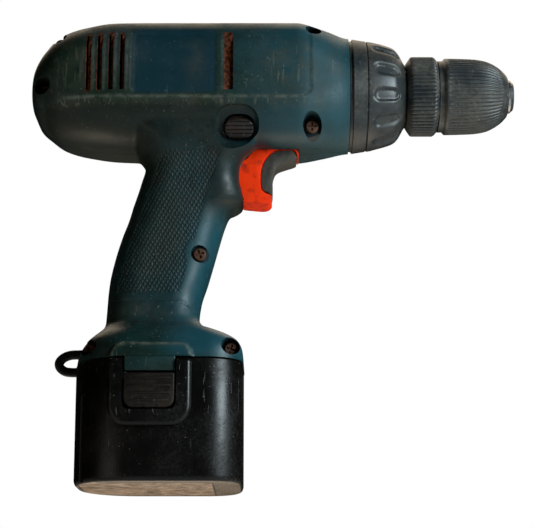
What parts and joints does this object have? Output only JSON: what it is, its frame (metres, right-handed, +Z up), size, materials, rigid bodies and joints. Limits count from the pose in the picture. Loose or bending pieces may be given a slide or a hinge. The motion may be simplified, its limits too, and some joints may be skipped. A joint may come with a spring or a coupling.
{
  "type": "cordless drill",
  "caption": "Cordless drill with a pistol grip, keyless chuck, torque collar, trigger, direction button, strap eye and slide-off battery.",
  "frame": {"origin": "centre of the battery's flat underside", "axes": "+X along the spindle towards the chuck, +Z up, -Y the side that the housing screws enter from"},
  "size_m": [0.2285, 0.0712, 0.2186],
  "materials": {
    "housing": "worn moulded plastic, dark petrol green",
    "black": "moulded plastic, near black",
    "orange": "moulded plastic, red-orange",
    "grey": "moulded plastic, grey",
    "brown": "moulded plastic, dark brown",
    "steel": "machined",
    "dark_steel": "dark, hard",
    "rusty": "rusty",
    "brass": "machined",
    "copper": "turned",
    "carbon": "carbon",
    "cell": "sleeved",
    "gear_plastic": "natural"
  },
  "bodies": {
    "drill_body": {"housing_right": "housing", "housing_left": "housing", "housing_screw_1": "rusty", "housing_screw_2": "rusty", "housing_screw_3": "rusty", "housing_screw_4": "rusty", "housing_screw_5": "rusty", "housing_screw_6": "rusty", "housing_screw_7": "rusty", "strap_eye": "black", "motor_can": "steel", "motor_end_cap": "black", "magnet_1": "dark_steel", "magnet_2": "dark_steel", "motor_brush_1": "carbon", "motor_brush_2": "carbon", "gear_case": "steel", "ring_gear_1": "gear_plastic", "ring_gear_2": "steel", "spindle_bearing": "steel", "scale_ring": "black", "clutch_spring": "steel", "switch_body": "black", "trigger_spring": "steel", "terminal_block": "black", "terminal_clip_plus": "brass", "terminal_clip_minus": "brass"},
    "rotor": {"motor_shaft": "steel", "armature_core": "dark_steel", "commutator": "copper", "cooling_fan": "black", "motor_pinion": "steel"},
    "carrier": {"planet_carrier": "steel"},
    "output": {"spindle": "steel", "chuck_body": "steel", "rear_sleeve": "black", "chuck_screw": "steel"},
    "chuck_sleeve": {"front_sleeve": "black", "chuck_nut": "steel"},
    "collar": {"torque_collar": "black"},
    "clutch_nut": {"clutch_nut": "brass"},
    "trigger": {"trigger": "orange", "trigger_pad": "grey"},
    "direction_button": {"direction_button": "brown"},
    "battery": {"battery_case": "black", "battery_lid": "black", "cell_pack": "cell", "battery_terminal_plus": "brass", "battery_terminal_minus": "brass"},
    "latch_right": {"latch_right": "black"},
    "latch_left": {"latch_left": "black"},
    "planet_1_a": {"planet_1_a": "gear_plastic"},
    "planet_2_a": {"planet_2_a": "steel"},
    "planet_1_b": {"planet_1_b": "gear_plastic"},
    "planet_2_b": {"planet_2_b": "steel"},
    "planet_1_c": {"planet_1_c": "gear_plastic"},
    "planet_2_c": {"planet_2_c": "steel"},
    "chuck_jaw_1": {"chuck_jaw_1": "dark_steel"},
    "chuck_jaw_2": {"chuck_jaw_2": "dark_steel"},
    "chuck_jaw_3": {"chuck_jaw_3": "dark_steel"}
  },
  "joints": [
    {"name": "spindle_spin", "type": "hinge", "parent": "drill_body", "child": "output", "pos_m": [0, 0, 0.1872], "axis": [1, 0, 0], "continuous": true},
    {"name": "rotor_spin", "type": "hinge", "parent": "drill_body", "child": "rotor", "pos_m": [0, 0, 0.1872], "axis": [1, 0, 0], "continuous": true},
    {"name": "carrier_spin", "type": "hinge", "parent": "drill_body", "child": "carrier", "pos_m": [0, 0, 0.1872], "axis": [1, 0, 0], "continuous": true},
    {"name": "planet_1_a_spin", "type": "hinge", "parent": "carrier", "child": "planet_1_a", "pos_m": [0, 0, 0.198], "axis": [1, 0, 0], "continuous": true},
    {"name": "planet_1_b_spin", "type": "hinge", "parent": "carrier", "child": "planet_1_b", "pos_m": [0, -0.00935, 0.1818], "axis": [1, 0, 0], "continuous": true},
    {"name": "planet_1_c_spin", "type": "hinge", "parent": "carrier", "child": "planet_1_c", "pos_m": [0, 0.00935, 0.1818], "axis": [1, 0, 0], "continuous": true},
    {"name": "planet_2_a_spin", "type": "hinge", "parent": "output", "child": "planet_2_a", "pos_m": [0, 0, 0.198], "axis": [1, 0, 0], "continuous": true},
    {"name": "planet_2_b_spin", "type": "hinge", "parent": "output", "child": "planet_2_b", "pos_m": [0, -0.00935, 0.1818], "axis": [1, 0, 0], "continuous": true},
    {"name": "planet_2_c_spin", "type": "hinge", "parent": "output", "child": "planet_2_c", "pos_m": [0, 0.00935, 0.1818], "axis": [1, 0, 0], "continuous": true},
    {"name": "chuck_sleeve_turn", "type": "hinge", "parent": "output", "child": "chuck_sleeve", "pos_m": [0, 0, 0.1872], "axis": [1, 0, 0], "range_deg": [0, 2500]},
    {"name": "jaw_1_slide", "type": "slide", "parent": "output", "child": "chuck_jaw_1", "axis": [0.9659, 0, -0.2588], "range_m": [0, 0.01778]},
    {"name": "jaw_2_slide", "type": "slide", "parent": "output", "child": "chuck_jaw_2", "axis": [0.9659, 0.2241, 0.1294], "range_m": [0, 0.01778]},
    {"name": "jaw_3_slide", "type": "slide", "parent": "output", "child": "chuck_jaw_3", "axis": [0.9659, -0.2241, 0.1294], "range_m": [0, 0.01778]},
    {"name": "collar_turn", "type": "hinge", "parent": "drill_body", "child": "collar", "pos_m": [0, 0, 0.1872], "axis": [1, 0, 0], "range_deg": [0, 270]},
    {"name": "clutch_nut_slide", "type": "slide", "parent": "drill_body", "child": "clutch_nut", "axis": [-1, 0, 0], "range_m": [0, 0.0035], "deforming": ["clutch_spring"]},
    {"name": "trigger_pull", "type": "slide", "parent": "drill_body", "child": "trigger", "axis": [-1, 0, 0], "range_m": [0, 0.006], "stiffness_N_per_m": 600, "springref_m": -0.005, "deforming": ["trigger_spring"]},
    {"name": "direction_slide", "type": "slide", "parent": "drill_body", "child": "direction_button", "axis": [0, 1, 0], "range_m": [-0.0025, 0.0025]},
    {"name": "battery_slide", "type": "slide", "parent": "drill_body", "child": "battery", "axis": [0, 0, -1], "range_m": [0, 0.06]},
    {"name": "latch_right_press", "type": "slide", "parent": "battery", "child": "latch_right", "axis": [0, 1, 0], "range_m": [0, 0.002], "stiffness_N_per_m": 800, "springref_m": -0.003},
    {"name": "latch_left_press", "type": "slide", "parent": "battery", "child": "latch_left", "axis": [0, -1, 0], "range_m": [0, 0.002], "stiffness_N_per_m": 800, "springref_m": -0.003}
  ],
  "couplings": [
    {"joint": "rotor_spin", "follows": "spindle_spin", "ratio": 20.25},
    {"joint": "carrier_spin", "follows": "spindle_spin", "ratio": 4.5},
    {"joint": "planet_1_a_spin", "follows": "spindle_spin", "ratio": -12.6},
    {"joint": "planet_1_b_spin", "follows": "spindle_spin", "ratio": -12.6},
    {"joint": "planet_1_c_spin", "follows": "spindle_spin", "ratio": -12.6},
    {"joint": "planet_2_a_spin", "follows": "spindle_spin", "ratio": -2.8},
    {"joint": "planet_2_b_spin", "follows": "spindle_spin", "ratio": -2.8},
    {"joint": "planet_2_c_spin", "follows": "spindle_spin", "ratio": -2.8},
    {"joint": "jaw_2_slide", "follows": "jaw_1_slide", "ratio": 1},
    {"joint": "jaw_3_slide", "follows": "jaw_1_slide", "ratio": 1},
    {"joint": "chuck_sleeve_turn", "follows": "jaw_1_slide", "rad_per_m": 2454},
    {"joint": "collar_turn", "follows": "clutch_nut_slide", "rad_per_m": 1346.4}
  ]
}
